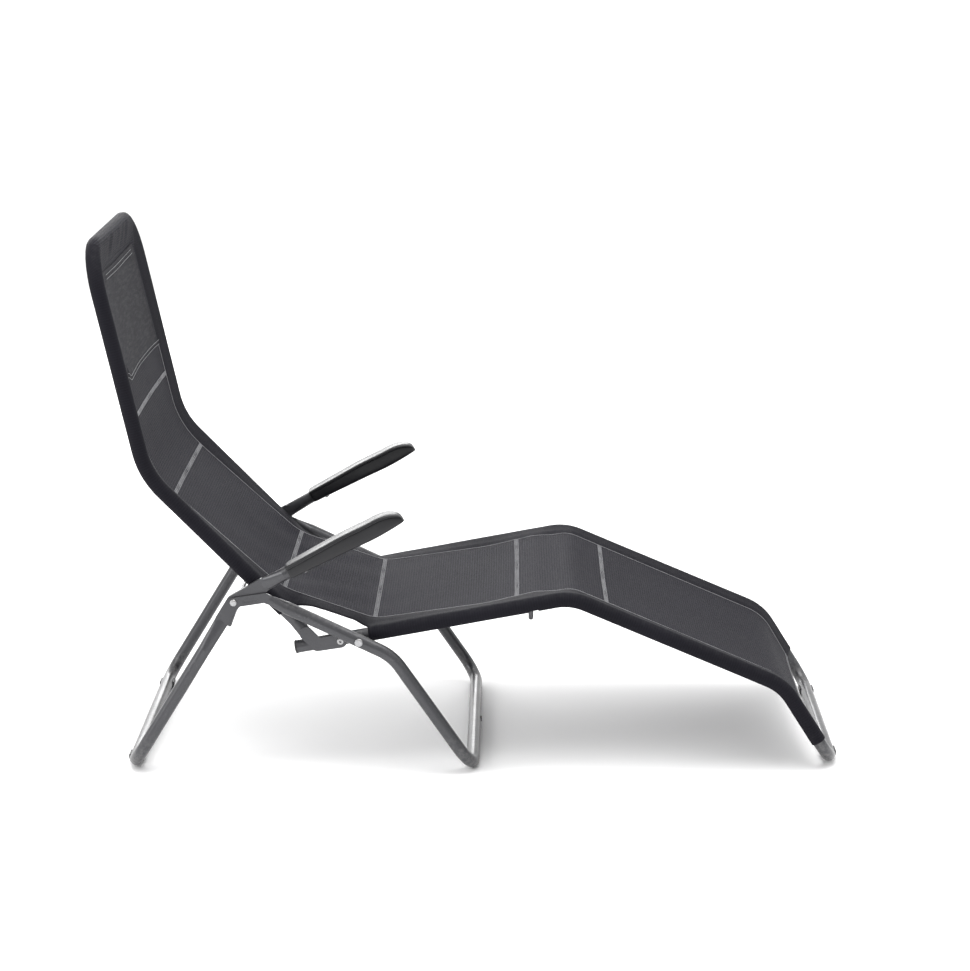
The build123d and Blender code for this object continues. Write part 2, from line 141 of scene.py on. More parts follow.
class ArmrestSettings(bpy.types.PropertyGroup):
    start: FloatProperty(name="Start", description="Along the arm from the leg pivot", default=0.124,
                         unit="LENGTH")
    end: FloatProperty(name="End", description="Tip of the armrest along the arm", default=0.3645,
                       unit="LENGTH")
    half_width: FloatProperty(name="Half width", description="Half the armrest's width", default=0.0238,
                              unit="LENGTH")
    top: FloatProperty(name="Top", description="Height of the top above the arm's axis", default=0.0150,
                       unit="LENGTH")
    colour: FloatVectorProperty(name="Armrest colour", description="Colour of the moulded plastic",
                                default=(0.0075, 0.0075, 0.0092), size=3, subtype="COLOR")


class FinishSettings(bpy.types.PropertyGroup):
    coat: FloatVectorProperty(name="Powder coat", description="Colour of the tubes",
                              default=(0.050, 0.050, 0.055), size=3, subtype="COLOR")
    zinc: FloatVectorProperty(name="Zinc", description="Colour of the bolts and rivets",
                              default=(0.40, 0.40, 0.41), size=3, subtype="COLOR")
    plastic: FloatVectorProperty(name="Black plastic", description="Colour of the caps and shoes",
                                 default=(0.022, 0.022, 0.024), size=3, subtype="COLOR")


class StageSettings(bpy.types.PropertyGroup):
    floor: FloatVectorProperty(name="Floor", description="Colour of the floor", default=(0.97, 0.97, 0.97),
                               size=3, subtype="COLOR")
    camera: FloatVectorProperty(name="Camera", description="Place of the camera",
                                default=(0.075, -4.9393, 1.724), size=3, subtype="TRANSLATION")
    pitch: FloatProperty(name="Pitch", description="How far the camera looks down",
                         default=math.radians(13.896), subtype="ANGLE")
    heading: FloatProperty(name="Heading", description="Turn of the camera from +Y",
                           default=math.radians(0.54), subtype="ANGLE")
    lens: FloatProperty(name="Lens", description="Focal length in millimetres", default=94.6)


# ------------------------------------------------------------------ lines in the side view
def unit(vector):
    return vector / np.linalg.norm(vector)


def rounded(corners, radii):
    """Points along straight runs joined by tangent arcs, all in the side view."""
    corners = [np.array(c, float) for c in corners]
    points = [corners[0]]
    for before, corner, after, radius in zip(corners, corners[1:], corners[2:], radii):
        back, on = unit(before - corner), unit(after - corner)
        half_turn = (math.pi - math.acos(np.clip(back @ on, -1, 1))) / 2
        reach = radius * math.tan(half_turn)
        centre = corner + unit(back + on) * radius / math.cos(half_turn)
        first, last = corner + back * reach - centre, corner + on * reach - centre
        steps = max(2, int(half_turn * 2 / 0.05))
        for step in range(steps + 1):
            share = step / steps
            arm = first * math.sin((1 - share) * half_turn * 2) + last * math.sin(share * half_turn * 2)
            points.append(centre + arm / math.sin(half_turn * 2))
    points.append(corners[-1])
    return np.array(points)


class SideLine:
    """A line in the side view that can be read at any distance from its start."""

    def __init__(self, corners, radii):
        self.points = rounded(corners, radii)
        gaps = np.linalg.norm(np.diff(self.points, axis=0), axis=1)
        self.reach = np.concatenate([[0], np.cumsum(gaps)])
        self.length = self.reach[-1]

    def point(self, s):
        return np.array([np.interp(s, self.reach, self.points[:, i]) for i in (0, 1)])

    def normal(self, s, spread=0.004):
        """Unit vector square to the line, on its upper side where the line runs towards -X."""
        run = unit(self.point(min(s + spread, self.length)) - self.point(max(s - spread, 0)))
        return np.array([run[1], -run[0]])

    def nearest(self, point):
        """Distance along the line to the place nearest to a point."""
        start, end = self.points[:-1], self.points[1:]
        run = end - start
        share = np.clip(((point - start) * run).sum(1) / np.maximum((run * run).sum(1), 1e-12), 0, 1)
        gap = np.linalg.norm(start + run * share[:, None] - point, axis=1)
        best = int(gap.argmin())
        return self.reach[best] + share[best] * (self.reach[best + 1] - self.reach[best])

    def at_x(self, x):
        """Distance along a line that runs towards -X to the place with a given X."""
        return float(np.interp(-x, -self.points[:, 0], self.reach))


HEAD_UP = unit(np.array(HEAD_BAR) - np.array(NECK))
HEAD_OUT = np.array([HEAD_UP[1], -HEAD_UP[0]])
SEAT_BACK = (-0.360, 0.350)
SEAT_FRONT = (-0.1823, 0.288)
CROSS_SEAMS_X = (0.265, 0.092, -0.182, -0.356, -0.5626, -0.6315)


def head_seam(inset):
    """(X, Z) of the seam below the head bar."""
    return tuple(np.array(HEAD_BAR) - HEAD_UP * inset + HEAD_OUT * 0.002)


def panel_line(inset):
    """Side view of the sling between its long seams, from the foot hem to the head seam."""
    corners = [LEG_SLEEVE_END, (CALF[0] + 0.002, CALF[1] + 0.0045), (KNEE[0] + 0.005, KNEE[1] + 0.0052),
               (KNEE[0] - 0.030, KNEE[1] - 0.0003), (KNEE[0] - 0.067, KNEE[1] - 0.0018), (0.030, 0.3185),
               SEAT_FRONT, SEAT_BACK, (-0.418, 0.402), (-0.562, 0.5355), (NECK[0] + 0.003, NECK[1] + 0.002),
               head_seam(inset)]
    return SideLine(corners, [RAIL_BEND_R, 0.06, 0.12, 0.08, 0.4, 0.08, 0.13, 0.9, 0.4, 0.19])


LEG_RAIL = SideLine([LEG_SLEEVE_END, CALF, KNEE, LEG_SLEEVE_START], [RAIL_BEND_R, RAIL_BEND_R])
BACK_RAIL = SideLine([BACK_SLEEVE_START, NECK, HEAD_BAR], [NECK_R])


def smooth(share):
    share = min(1.0, max(0.0, share))
    return share * share * (3 - 2 * share)


def ripple(x, y, z=0.0, seed=0.0):
    """Smooth wandering value from -1 to 1."""
    return noise.noise(Vector((x, y, z + seed)))


# ------------------------------------------------------------------ mesh helpers
def new_piece(name, vertices, faces, uvs=None, smooth_faces=True):
    """A mesh object from plain lists; uvs has one pair for each vertex."""
    mesh = bpy.data.meshes.new(name)
    mesh.from_pydata([tuple(v) for v in vertices], [], faces)
    if uvs is not None:
        layer = mesh.uv_layers.new(name="UVMap")
        order = np.empty(len(mesh.loops), int)
        mesh.loops.foreach_get("vertex_index", order)
        layer.data.foreach_set("uv", np.array(uvs, float)[order].ravel())
    if smooth_faces:
        mesh.polygons.foreach_set("use_smooth", [True] * len(mesh.polygons))
    mesh.update()
    piece = bpy.data.objects.new(name, mesh)
    bpy.context.scene.collection.objects.link(piece)
    return piece


def drop_loose(piece):
    """Remove vertices that no face uses."""
    work = bmesh.new()
    work.from_mesh(piece.data)
    bmesh.ops.delete(work, geom=[v for v in work.verts if not v.link_faces], context="VERTS")
    work.to_mesh(piece.data)
    work.free()


def settle(piece):
    """Turn a piece and its modifiers into one plain mesh."""
    bpy.context.view_layer.update()
    evaluated = piece.evaluated_get(bpy.context.evaluated_depsgraph_get())
    mesh = bpy.data.meshes.new_from_object(evaluated)
    mesh.name = piece.name
    piece.modifiers.clear()
    piece.data = mesh
    return piece


def facing_out(piece):
    """Merge doubles and turn every face outwards."""
    work = bmesh.new()
    work.from_mesh(piece.data)
    bmesh.ops.remove_doubles(work, verts=work.verts, dist=1e-6)
    bmesh.ops.recalc_face_normals(work, faces=work.faces)
    work.to_mesh(piece.data)
    work.free()
    return piece


# ------------------------------------------------------------------ node helpers
def add_node(tree, kind, inputs=None, **settings):
    """A node whose inputs are values or other nodes' sockets."""
    made = tree.nodes.new(kind)
    for name, value in settings.items():
        setattr(made, name, value)
    for key, value in (inputs or {}).items():
        socket = made.inputs[key]
        if isinstance(value, bpy.types.NodeSocket):
            tree.links.new(value, socket)
        else:
            socket.default_value = value
    return made


def calc(tree, operation, first, second=0.0, third=0.0):
    """One Math node's result."""
    return add_node(tree, "ShaderNodeMath", {0: first, 1: second, 2: third}, operation=operation).outputs[0]


def blend_colour(tree, share, first, second, mode="MIX"):
    """One colour Mix node's result."""
    made = add_node(tree, "ShaderNodeMix", {"Factor": share}, data_type="RGBA", blend_type=mode)
    for index, value in ((6, first), (7, second)):
        if isinstance(value, bpy.types.NodeSocket):
            tree.links.new(value, made.inputs[index])
        else:
            made.inputs[index].default_value = (*value[:3], 1.0)
    return made.outputs[2]


def ranged(tree, value, low, high, to_low=0.0, to_high=1.0):
    """A value stretched from one range to another and held inside it."""
    return add_node(tree, "ShaderNodeMapRange", {
        "Value": value, "From Min": low, "From Max": high, "To Min": to_low, "To Max": to_high}).outputs[0]


def shader_group(name, inputs, outputs):
    """An empty shader node group with float inputs (name, default) and float outputs."""
    group = bpy.data.node_groups.new(name, "ShaderNodeTree")
    for label, default in inputs:
        socket = group.interface.new_socket(label, in_out="INPUT", socket_type="NodeSocketFloat")
        socket.default_value = default
    for label in outputs:
        group.interface.new_socket(label, in_out="OUTPUT", socket_type="NodeSocketFloat")
    return group, group.nodes.new("NodeGroupInput"), group.nodes.new("NodeGroupOutput")


def use_group(tree, group, **values):
    """A node that places a shared group in a material, with its own values."""
    made = tree.nodes.new("ShaderNodeGroup")
    made.node_tree = group
    for label, value in values.items():
        socket = made.inputs[label.replace("_", " ").capitalize()]
        if isinstance(value, bpy.types.NodeSocket):
            tree.links.new(value, socket)
        else:
            socket.default_value = value
    return made


def object_noise(tree, scale, detail=3.0, roughness=0.55, stretch=(1, 1, 1)):
    """Noise in the object's own coordinates."""
    where = add_node(tree, "ShaderNodeTexCoord").outputs["Object"]
    if stretch != (1, 1, 1):
        where = add_node(tree, "ShaderNodeMapping", {"Vector": where, "Scale": stretch}).outputs[0]
    return add_node(tree, "ShaderNodeTexNoise", {
        "Vector": where, "Scale": scale, "Detail": detail, "Roughness": roughness}).outputs["Fac"]


def weave_group():
    """Yarns crossing over and under, on the cloth's own UV map, which is in metres."""
    group, given, result = shader_group(
        "cloth weave", [("Pitch", 0.002), ("Rib pitch", 0.007), ("Rib strength", 0.5)],
        ["Height", "Gap", "Rib"])
    where = add_node(group, "ShaderNodeUVMap", uv_map="UVMap").outputs[0]
    split = add_node(group, "ShaderNodeSeparateXYZ", {0: where})
    across, along = split.outputs[0], split.outputs[1]
    turn = calc(group, "DIVIDE", math.pi, given.outputs["Pitch"])
    warp = calc(group, "ABSOLUTE", calc(group, "SINE", calc(group, "MULTIPLY", across, turn)))
    weft = calc(group, "ABSOLUTE", calc(group, "SINE", calc(group, "MULTIPLY", along, turn)))
    crossing = calc(group, "MULTIPLY", warp, weft)
    rib_turn = calc(group, "DIVIDE", 2 * math.pi, given.outputs["Rib pitch"])
    wave = calc(group, "SINE", calc(group, "MULTIPLY", along, rib_turn))
    rib = calc(group, "MULTIPLY_ADD", wave, 0.5, 0.5)
    yarn = calc(group, "MAXIMUM", warp, weft)
    raised = calc(group, "MULTIPLY", rib, given.outputs["Rib strength"])
    height = calc(group, "MULTIPLY_ADD", raised, 1.0, yarn)
    group.links.new(height, result.inputs["Height"])
    group.links.new(ranged(group, crossing, 0.35, 0.0), result.inputs["Gap"])
    group.links.new(rib, result.inputs["Rib"])
    return group


def grain_group():
    """Fine moulded or sprayed grain."""
    group, given, result = shader_group(
        "surface grain", [("Scale", 900.0), ("Contrast", 1.0)], ["Height", "Tone"])
    fine = object_noise(group, given.outputs["Scale"], detail=2.0)
    broad = object_noise(group, 14.0, detail=4.0)
    group.links.new(calc(group, "MULTIPLY", fine, given.outputs["Contrast"]), result.inputs["Height"])
    group.links.new(broad, result.inputs["Tone"])
    return group


def wear_group():
    """Scuffs and rubbed places, as a mask from 0 to 1."""
    group, given, result = shader_group("scuffs", [("Amount", 0.3), ("Scale", 60.0)], ["Mask"])
    patches = ranged(group, object_noise(group, 9.0, detail=5.0), 0.5, 0.72)
    marks = ranged(group, object_noise(group, given.outputs["Scale"], 6.0, 0.7, (1, 6, 1)), 0.56, 0.74)
    mask = calc(group, "MULTIPLY", calc(group, "MULTIPLY", patches, marks), given.outputs["Amount"])
    group.links.new(mask, result.inputs["Mask"])
    return group


def dust_group():
    """Dust that gathers on what faces up and close to the floor."""
    group, given, result = shader_group("dust", [("Amount", 0.2)], ["Mask"])
    up = add_node(group, "ShaderNodeSeparateXYZ", {
        0: add_node(group, "ShaderNodeNewGeometry").outputs["Normal"]}).outputs[2]
    place = add_node(group, "ShaderNodeTexCoord").outputs["Object"]
    height = add_node(group, "ShaderNodeSeparateXYZ", {0: place}).outputs[2]
    low = ranged(group, height, 0.09, 0.0)
    facing = ranged(group, up, 0.2, 1.0)
    specks = ranged(group, object_noise(group, 120.0, 5.0, 0.7), 0.42, 0.7)
    both = calc(group, "MAXIMUM", low, calc(group, "MULTIPLY", facing, 0.45))
    mask = calc(group, "MULTIPLY", calc(group, "MULTIPLY", both, specks), given.outputs["Amount"])
    group.links.new(mask, result.inputs["Mask"])
    return group


GROUP_MAKERS = {"cloth weave": weave_group, "surface grain": grain_group, "scuffs": wear_group,
                "dust": dust_group}


def shared(name):
    """A shared node group, built the first time that it is asked for."""
    return bpy.data.node_groups.get(name) or GROUP_MAKERS[name]()


def new_material(name):
    """A material with its Principled BSDF ready to be fed."""
    material = bpy.data.materials.new(name)
    material.use_nodes = True
    return material, material.node_tree, material.node_tree.nodes["Principled BSDF"]


def feed(tree, shader, **sockets):
    """Link or set the named inputs of a shader."""
    for label, value in sockets.items():
        socket = shader.inputs[label.replace("_", " ")]
        if isinstance(value, bpy.types.NodeSocket):
            tree.links.new(value, socket)
        else:
            socket.default_value = value


def bump(tree, height, strength, distance):
    return add_node(tree, "ShaderNodeBump", {
        "Height": height, "Strength": strength, "Distance": distance}).outputs[0]


# ------------------------------------------------------------------ materials
def sling_cloth(settings):
    """Ribbed open mesh of coated yarn, with painted shade in the gaps between the yarns and painted
    highlights on the rib crests; the sleeves lie double and are painted darker, partly as painted shade on
    their sides that face down.
    """
    material, tree, shader = new_material("sling mesh cloth")
    weave = use_group(tree, shared("cloth weave"), pitch=settings.weave_pitch, rib_pitch=settings.rib_pitch,
                      rib_strength=0.6)
    across = add_node(tree, "ShaderNodeSeparateXYZ", {
        0: add_node(tree, "ShaderNodeUVMap", uv_map="UVMap").outputs[0]}).outputs[0]
    edge = calc(tree, "ABSOLUTE", across)
    seam = HALF_RAIL - settings.seam_inset
    sleeve = ranged(tree, edge, seam - 0.001, seam + 0.002)
    base = tuple(settings.colour)
    dark = tuple(c * 0.35 for c in base)
    light = tuple(c * 2.6 for c in base)
    # painted shade: the gaps between the yarns are painted darker
    yarn = blend_colour(tree, weave.outputs["Gap"], base, dark)
    # painted highlight: the crests of the ribs are painted lighter, less so on the sleeves
    painted_rib_highlight = ranged(tree, weave.outputs["Rib"], 0.45, 0.95, 0.0, 0.55)
    open_part = calc(tree, "MULTIPLY_ADD", sleeve, -0.75, 1.0)
    rib_highlighted = blend_colour(tree, calc(tree, "MULTIPLY", painted_rib_highlight, open_part), yarn, light)
    patches = ranged(tree, object_noise(tree, 5.0, 4.0), 0.35, 0.7, 0.0, 0.12)
    faded = blend_colour(tree, patches, rib_highlighted, light)
    # painted shade: the sleeves are darkened, partly for the double layer and partly as painted shade on
    # their sides that face down
    double_and_shaded_sleeves = blend_colour(tree, calc(tree, "MULTIPLY", sleeve, 0.1), faded, dark)
    dust = use_group(tree, shared("dust"), amount=0.05)
    final = blend_colour(tree, dust.outputs["Mask"], double_and_shaded_sleeves, (0.42, 0.41, 0.40))
    rough = ranged(tree, weave.outputs["Gap"], 0.0, 1.0, 0.62, 0.9)
    feed(tree, shader, Base_Color=final, Roughness=rough, Specular_IOR_Level=0.06,
         Normal=bump(tree, calc(tree, "MULTIPLY", weave.outputs["Height"], open_part), 0.6, 0.0007))
    return material


def pad_cloth(settings):
    """Dense plain weave of the headrest's cover, with faint slubs and painted shade in the gaps between the
    yarns.
    """
    material, tree, shader = new_material("headrest cover cloth")
    weave = use_group(tree, shared("cloth weave"), pitch=0.0011, rib_pitch=0.0044, rib_strength=0.2)
    base = tuple(settings.colour)
    dark = tuple(c * 0.6 for c in base)
    light = tuple(c * 1.4 for c in base)
    # painted shade: the gaps between the yarns are painted darker
    yarn = blend_colour(tree, weave.outputs["Gap"], base, dark)
    slubs = ranged(tree, object_noise(tree, 190.0, 4.0, 0.6, (1, 0.15, 1)), 0.45, 0.7, 0.0, 0.4)
    mottled = blend_colour(tree, slubs, yarn, light)
    broad = ranged(tree, object_noise(tree, 8.0, 4.0), 0.4, 0.68, 0.0, 0.3)
    final = blend_colour(tree, broad, mottled, light)
    rough = ranged(tree, slubs, 0.0, 0.4, 0.85, 0.7)
    feed(tree, shader, Base_Color=final, Roughness=rough, Sheen_Weight=0.02, Sheen_Roughness=0.4,
         Specular_IOR_Level=0.08, Normal=bump(tree, weave.outputs["Height"], 0.35, 0.0004))
    return material


def sewing_thread(settings):
    """Twisted polyester thread."""
    material, tree, shader = new_material("sewing thread")
    base = tuple(settings.colour)
    twist = object_noise(tree, 1400.0, 2.0)
    soiled = ranged(tree, object_noise(tree, 25.0, 4.0), 0.4, 0.7, 0.0, 0.5)
    tone = blend_colour(tree, soiled, base, tuple(c * 0.6 for c in base))
    final = blend_colour(tree, ranged(tree, twist, 0.4, 0.6, 0.0, 0.35), tone, tuple(c * 0.55 for c in base))
    feed(tree, shader, Base_Color=final, Roughness=ranged(tree, twist, 0.3, 0.7, 0.5, 0.75), Sheen_Weight=0.1,
         Normal=bump(tree, twist, 0.4, 0.0003))
    return material


def powder_coat(settings):
    """Anthracite powder coat with fine orange peel, flakes, scuffs and dust."""
    material, tree, shader = new_material("anthracite powder coat")
    base = tuple(settings.coat)
    grain = use_group(tree, shared("surface grain"), scale=520.0, contrast=1.0)
    flakes = ranged(tree, object_noise(tree, 2600.0, 1.0), 0.60, 0.72, 0.0, 0.5)
    toned = blend_colour(tree, ranged(tree, grain.outputs["Tone"], 0.3, 0.7, 0.0, 0.5), base,
                         tuple(c * 0.78 for c in base))
    flaked = blend_colour(tree, flakes, toned, tuple(c * 2.0 for c in base))
    scuffs = use_group(tree, shared("scuffs"), amount=0.35, scale=110.0)
    rubbed = blend_colour(tree, scuffs.outputs["Mask"], flaked, (0.30, 0.30, 0.31))
    dust = use_group(tree, shared("dust"), amount=0.35)
    final = blend_colour(tree, dust.outputs["Mask"], rubbed, (0.40, 0.39, 0.37))
    rough = calc(tree, "ADD", ranged(tree, grain.outputs["Tone"], 0.3, 0.7, 0.32, 0.42),
                 calc(tree, "MULTIPLY", dust.outputs["Mask"], 0.5))
    feed(tree, shader, Base_Color=final, Metallic=0.45, Roughness=rough, Coat_Weight=0.3, Coat_Roughness=0.18,
         Normal=bump(tree, grain.outputs["Height"], 0.18, 0.0005))
    return material


def moulded_plastic(name, colour, grain_scale, gloss):
    """Moulded plastic with a fine spark-eroded grain, handling marks and dust."""
    material, tree, shader = new_material(name)
    grain = use_group(tree, shared("surface grain"), scale=grain_scale, contrast=1.0)
    scuffs = use_group(tree, shared("scuffs"), amount=0.3, scale=75.0)
    toned = blend_colour(tree, ranged(tree, grain.outputs["Tone"], 0.3, 0.7, 0.0, 0.45), colour,
                         tuple(c * 1.35 for c in colour))
    rubbed = blend_colour(tree, scuffs.outputs["Mask"], toned, tuple(min(1.0, c * 3) for c in colour))
    dust = use_group(tree, shared("dust"), amount=0.06)
    final = blend_colour(tree, dust.outputs["Mask"], rubbed, (0.35, 0.34, 0.33))
    rough = calc(tree, "ADD", ranged(tree, grain.outputs["Tone"], 0.3, 0.7, gloss, gloss + 0.1),
                 calc(tree, "MULTIPLY", scuffs.outputs["Mask"], 0.3))
    feed(tree, shader, Base_Color=final, Roughness=rough, Specular_IOR_Level=0.4,
         Normal=bump(tree, grain.outputs["Height"], 0.22, 0.0004))
    return material


def zinc_plate(settings):
    """Zinc-plated steel with a faint brushed tone."""
    material, tree, shader = new_material("zinc plate")
    base = tuple(settings.zinc)
    brushed = object_noise(tree, 500.0, 3.0, 0.6, (1, 0.2, 1))
    stained = ranged(tree, object_noise(tree, 90.0, 4.0), 0.5, 0.75, 0.0, 0.5)
    streaks = ranged(tree, brushed, 0.35, 0.65, 0.0, 0.4)
    tone = blend_colour(tree, streaks, base, tuple(c * 0.75 for c in base))
    final = blend_colour(tree, stained, tone, (0.34, 0.32, 0.30))
    feed(tree, shader, Base_Color=final, Metallic=0.95, Roughness=ranged(tree, brushed, 0.3, 0.7, 0.22, 0.4),
         Normal=bump(tree, brushed, 0.15, 0.0003))
    return material


def floor_paint(settings):
    """Matt pale floor."""
    material, tree, shader = new_material("pale floor")
    base = tuple(settings.floor)
    tone = blend_colour(tree, ranged(tree, object_noise(tree, 0.8, 2.0), 0.4, 0.6, 0.0, 0.2), base,
                        tuple(c * 0.99 for c in base))
    feed(tree, shader, Base_Color=tone, Roughness=0.95, Specular_IOR_Level=0.1)
    return material


# ------------------------------------------------------------------ sling
STRAIGHT_PARTS, ARC_PARTS, RETURN_PARTS = 6, 14, 5
RING_PARTS = STRAIGHT_PARTS + ARC_PARTS + RETURN_PARTS
HALF_COLUMNS = 22
CORNER_ROWS = 7
HEM_RISE = 0.006                       # how far the middle of the hem lies above its near end
HEM_SLANT = 0.024                      # how far its far end does
HEM_REACH = 0.16                       # where the cloth above the hem runs square again
HEM_ROWS = (0.004, 0.011)
FLAP_WIDTH = 0.0405
KNEE_SLIT_HALF = 0.0075
KNEE_SLIT_FIRST, KNEE_SLIT_PARTS = STRAIGHT_PARTS + 9, 6


class SlingShape:
    """The sling's surface, read by distance from the foot hem and by Y."""

    def __init__(self, settings):
        self.settings = settings
        self.line = panel_line(settings.seam_inset)
        self.seam_y = HALF_RAIL - settings.seam_inset
        self.corner_r = HEAD_CORNER_R - settings.seam_inset
        self.corner_start = self.line.length - self.corner_r
        self.back_start = self.sleeve_end(BACK_RAIL, BACK_SLEEVE_START, NECK)
        self.leg_start = self.sleeve_end(LEG_RAIL, LEG_SLEEVE_START, KNEE)

    def sleeve_end(self, rail, start, toward):
        """Distance along the panel where the square cut at a sleeve's end meets it."""
        run = unit(np.array(toward) - np.array(start))
        samples = np.linspace(self.line.at_x(-0.1), self.line.at_x(-0.45), 400)
        ahead = [abs((self.line.point(s) - np.array(start)) @ run) for s in samples]
        return float(samples[int(np.argmin(ahead))])

    def half(self, s):
        """|Y| of the long seam, which turns in at the head."""
        if s <= self.corner_start:
            return self.seam_y
        rest = self.corner_r ** 2 - (s - self.corner_start) ** 2
        return self.seam_y - self.corner_r + math.sqrt(max(0.0, rest))

    def lift(self, s, y):
        """Height of the cloth above its side line: sag, tension folds and soft unevenness."""
        share = min(1.0, abs(y) / self.half(s))
        open_part = 1 - share ** 2
        sag = -self.settings.sag * open_part * (0.6 + 0.4 * ripple(s * 3, 0.3))
        fold_centre = self.back_start - 0.02
        near_fold = math.exp(-((s - fold_centre) / 0.16) ** 2)
        folds = 0.0016 * near_fold * math.sin(y * 46 + s * 30) * share * open_part * 2
        uneven = 0.0011 * ripple(s * 9, y * 9, 0.0, 3.1) * open_part ** 0.5
        pucker = 0.0005 * sum(math.exp(-((s - seam) / 0.012) ** 2) for seam in self.cross_seams())
        pucker *= math.sin(y * 620 + s * 40)
        return sag + folds + uneven + pucker * open_part ** 0.3

    def cross_seams(self):
        if not hasattr(self, "seams"):
            self.seams = [self.line.at_x(x) for x in CROSS_SEAMS_X]
        return self.seams

    def shifted(self, s, y):
        """The foot hem curves up between the sleeves and runs a little aslant."""
        share = y / self.seam_y
        rise = HEM_RISE * (1 - share ** 2) + HEM_SLANT * (1 + share) / 2
        return s + rise * (1 - smooth(s / HEM_REACH))

    def surface(self, s, y, height=0.0):
        """A point on the panel, or a height above it."""
        where = self.shifted(s, y)
        x, z = self.line.point(where) + self.line.normal(where) * (self.lift(s, y) + height)
        return np.array([x, y, z])

    def normal(self, s):
        x, z = self.line.normal(s)
        return np.array([x, 0.0, z])

    def rows(self):
        """Distances of the rows of faces, with even angles round the head corners."""
        count = int(round(self.corner_start / self.settings.row))
        straight = np.linspace(0, self.corner_start, count + 1)
        angles = np.linspace(0, math.pi / 2, CORNER_ROWS + 1)[1:]
        return np.concatenate([straight, self.corner_start + self.corner_r * np.sin(angles)])

    def teardrop(self, tip_low):
        """Sleeve section from the seam over the rail and back, as (outward, up) from the rail's axis."""
        radius = self.settings.sleeve_radius
        tip = np.array([-self.settings.seam_inset, tip_low])
        reach = np.linalg.norm(tip)
        aim = math.atan2(tip[1], tip[0])
        spread = math.acos(radius / reach)
        first, last = aim - spread, aim + spread - 2 * math.pi
        rim = [np.array([math.cos(a), math.sin(a)]) * radius for a in np.linspace(first, last, ARC_PARTS + 1)]
        below = tip + np.array([0.0005, -1.1 * self.settings.thickness])
        over = [tip + (rim[0] - tip) * k / STRAIGHT_PARTS for k in range(STRAIGHT_PARTS)]
        under = [rim[-1] + (below - rim[-1]) * k / RETURN_PARTS for k in range(1, RETURN_PARTS + 1)]
        return over + rim + under


def loop_stations(shape, rows):
    """Places round the long seam: (row, column, |out| direction angle), right side, head, left side."""
    last = len(rows) - 1
    stations = []
    for row, s in enumerate(rows):
        sine = min(1.0, max(0.0, (s - shape.corner_start) / shape.corner_r))
        stations.append((row, 0, math.asin(sine)))
    stations += [(last, column, math.pi / 2) for column in range(1, 2 * HALF_COLUMNS)]
    right = [(row, 2 * HALF_COLUMNS, math.pi - angle) for row, _, angle in stations[:last + 1]]
    return stations + right[::-1]


def sleeve_ring(shape, s, y, angle, seam_point):
    """Points round the rail at one place of the long seam; angle turns from -Y over the head to +Y."""
    wall = shape.settings.seam_inset
    out_y, out_up = -math.cos(angle), math.sin(angle)
    flat = np.array([seam_point[0], seam_point[2]])
    if s >= shape.corner_start - 1e-9:
        up, normal = HEAD_UP, HEAD_OUT
        rail = np.array(HEAD_BAR) + up * (-HEAD_CORNER_R + (s - shape.corner_start) + wall * out_up)
        if angle == math.pi / 2:
            rail = np.array(HEAD_BAR)
    else:
        line = BACK_RAIL if s > shape.back_start else LEG_RAIL
        place = line.nearest(flat)
        rail, normal, up = line.point(place), line.normal(place), HEAD_UP
        if line is BACK_RAIL:
            normal = -normal if normal[1] < 0 else normal
    rise = (flat - rail) @ normal
    points = []
    for out, high in shape.teardrop(rise):
        side = rail + normal * high + up * (out * out_up)
        points.append(np.array([side[0], y + (out + wall) * out_y, side[1]]))
    return points


def flap_ring(shape, s, y, seam_point):
    """Free edge of the cloth between the two sleeves."""
    out = -1 if y < 0 else 1
    share = (s - shape.leg_start) / (shape.back_start - shape.leg_start)
    ends_x = -0.012 * smooth((share - 0.72) / 0.28)
    drop = 0.004 + 0.009 * smooth((share - 0.72) / 0.28) + 0.006 * smooth((0.2 - share) / 0.2)
    wave = 0.0022 * ripple(s * 34, 0.0, float(out))
    points = []
    for step in range(RING_PARTS + 1):
        part = min(1.0, step / STRAIGHT_PARTS)
        shift = np.array([ends_x * part, out * FLAP_WIDTH * part, -drop * part ** 1.6 + wave * part])
        points.append(seam_point + shift)
    return points


def soften(points, s, y, angle, seed):
    """A lengthwise fold beside the seam and small wrinkles, deeper in the head pocket."""
    head = math.sin(angle) ** 2 if 0 < angle < math.pi else 0.0
    for index in range(1, len(points) - 1):
        share = index / (len(points) - 1)
        if share >= 0.34:
            continue
        bulge = math.sin(share / 0.34 * math.pi)
        ridge = 0.0013 * math.exp(-((share - 0.085) / 0.035) ** 2) * (0.8 + 0.5 * ripple(s * 7, y * 7, seed))
        fine = 0.0006 * bulge * ripple(y * 55, s * 26, share * 2, seed)
        pleat = 0.0042 * bulge * ripple(y * 34 + s * 6, share * 0.8, 0.0, seed + 5)
        rise = (ridge + fine) * (1 - head) + pleat * head
        points[index][0] += rise * HEAD_OUT[0] * head + rise * 0.35 * (1 - head)
        points[index][2] += rise * HEAD_OUT[1] * head + rise * (1 - head)
    return points


def knee_slit(shape, s, part):
    """True where the sleeve is slit for the knee bar's end."""
    x = shape.line.point(s)[0]
    return abs(x - KNEE_BAR_X) < KNEE_SLIT_HALF and 0 <= part - KNEE_SLIT_FIRST < KNEE_SLIT_PARTS


